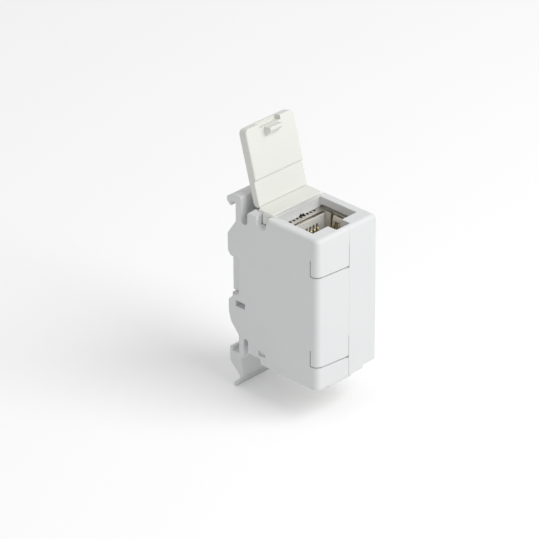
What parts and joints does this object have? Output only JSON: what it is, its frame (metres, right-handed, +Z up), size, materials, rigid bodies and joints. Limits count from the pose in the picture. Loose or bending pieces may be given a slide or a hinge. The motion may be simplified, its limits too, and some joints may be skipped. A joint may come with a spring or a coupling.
{
  "type": "keystone jack",
  "caption": "Shielded keystone jack in a one-module rail-mount holder, with the jack's mouth at the top under a hinged dust cover.",
  "frame": {"origin": "middle of the front face of the top-hat rail that the holder clips on, on the module's middle plane", "axes": "+X along the rail, the holder's front faces -Y, +Z up"},
  "size_m": [0.0176, 0.0255, 0.0596],
  "materials": {
    "light_grey_plastic": "fine matt, light grey",
    "off_white_plastic": "smooth, off white",
    "nickel_plated_zinc": "satin nickel",
    "carrier_plastic": "smooth, light grey",
    "spring_bronze": "nickel over bronze strip",
    "gold_plated_wire": "polished gold plating",
    "board_laminate": "green solder mask",
    "block_plastic": "smooth white",
    "tinned_bronze": "tin plated",
    "cap_plastic": "smooth grey",
    "clamp_steel": "bright spring steel"
  },
  "bodies": {
    "holder": {"cable_clamp": "clamp_steel", "circuit_board": "board_laminate", "contact_1": "gold_plated_wire", "contact_2": "gold_plated_wire", "contact_3": "gold_plated_wire", "contact_4": "gold_plated_wire", "contact_5": "gold_plated_wire", "contact_6": "gold_plated_wire", "contact_7": "gold_plated_wire", "contact_8": "gold_plated_wire", "contact_carrier": "carrier_plastic", "contact_comb": "carrier_plastic", "cover_base": "off_white_plastic", "ground_spring_left": "spring_bronze", "ground_spring_right": "spring_bronze", "housing_left": "light_grey_plastic", "housing_right": "light_grey_plastic", "jack_shell": "nickel_plated_zinc", "latch_arm": "nickel_plated_zinc", "rear_hood": "nickel_plated_zinc", "wire_block": "block_plastic", "wire_cap": "cap_plastic", "wire_fork_1": "tinned_bronze", "wire_fork_2": "tinned_bronze", "wire_fork_3": "tinned_bronze", "wire_fork_4": "tinned_bronze", "wire_fork_5": "tinned_bronze", "wire_fork_6": "tinned_bronze", "wire_fork_7": "tinned_bronze", "wire_fork_8": "tinned_bronze"},
    "lid": {"cover_lid": "off_white_plastic"}
  },
  "joints": [
    {"name": "cover_hinge", "type": "hinge", "parent": "holder", "child": "lid", "pos_m": [0, -0.0053, 0.0176], "axis": [1, 0, 0], "range_deg": [-27, 105.3]}
  ]
}
